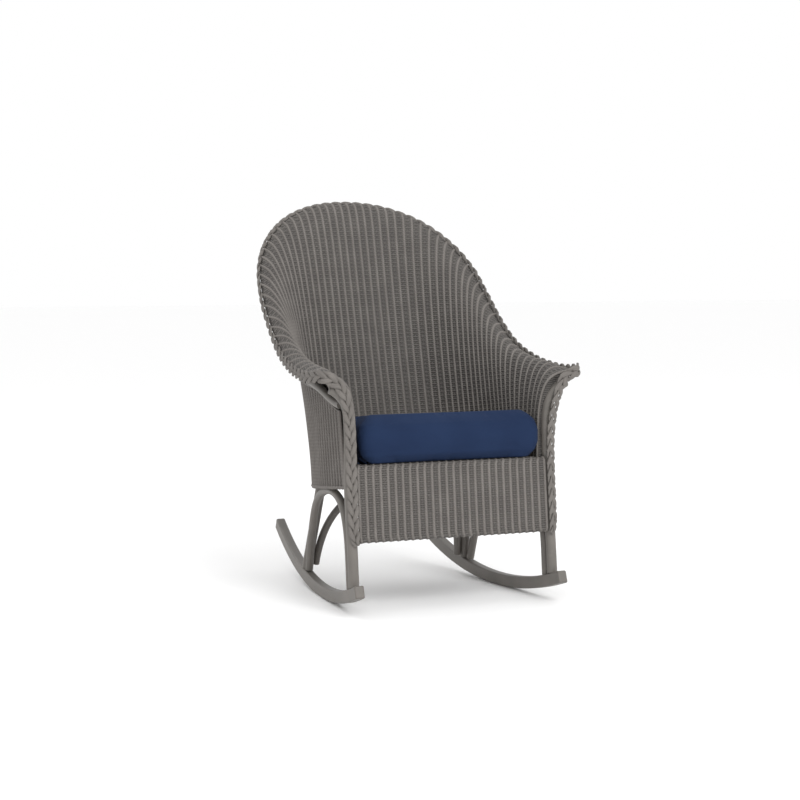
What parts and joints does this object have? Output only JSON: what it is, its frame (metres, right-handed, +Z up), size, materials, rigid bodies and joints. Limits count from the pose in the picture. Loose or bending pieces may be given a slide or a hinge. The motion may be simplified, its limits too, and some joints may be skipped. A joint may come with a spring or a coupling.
{
  "type": "outdoor rocking chair",
  "caption": "Woven high-back rocking chair with flared arms, bent pole legs on curved runners and a loose navy seat cushion.",
  "frame": {"origin": "middle of the footprint on the ground, with the chair standing at rest on its runners", "axes": "+Z up; the chair's front faces -Y; +X to the right of someone who looks at the front"},
  "size_m": [0.7392, 0.8198, 1.0444],
  "materials": {
    "painted_pole": "satin",
    "woven_fibre": "matte",
    "braided_fibre": "matte",
    "cushion_cloth": "matte",
    "slat_wood": "matte",
    "zinc_steel": "satin"
  },
  "bodies": {
    "chair": {"runner_left": "painted_pole", "runner_right": "painted_pole", "front_post_left": "painted_pole", "front_post_right": "painted_pole", "rear_leg_left": "painted_pole", "rear_leg_right": "painted_pole", "side_arch_left": "painted_pole", "side_arch_right": "painted_pole", "arm_rail_left": "painted_pole", "arm_rail_right": "painted_pole", "post_braid_left": "braided_fibre", "post_braid_right": "braided_fibre", "front_runner_screw_left": "zinc_steel", "front_runner_screw_right": "zinc_steel", "rear_runner_screw_left": "zinc_steel", "rear_runner_screw_right": "zinc_steel", "rear_arch": "painted_pole", "seat_frame": "painted_pole", "front_top_rail": "painted_pole", "front_bottom_rail": "painted_pole", "rim_pole": "painted_pole", "woven_shell": "woven_fibre", "woven_skirt": "woven_fibre", "woven_apron": "woven_fibre", "rim_braid": "braided_fibre", "seat_slat_1": "slat_wood", "seat_slat_2": "slat_wood", "seat_slat_3": "slat_wood", "seat_slat_4": "slat_wood", "seat_slat_5": "slat_wood", "seat_slat_6": "slat_wood", "seat_slat_7": "slat_wood"},
    "cushion": {"seat_cushion": "cushion_cloth"}
  },
  "joints": [
    {"name": "cushion_lift", "type": "slide", "parent": "chair", "child": "cushion", "axis": [0, 0, 1], "range_m": [0, 0.3]}
  ]
}
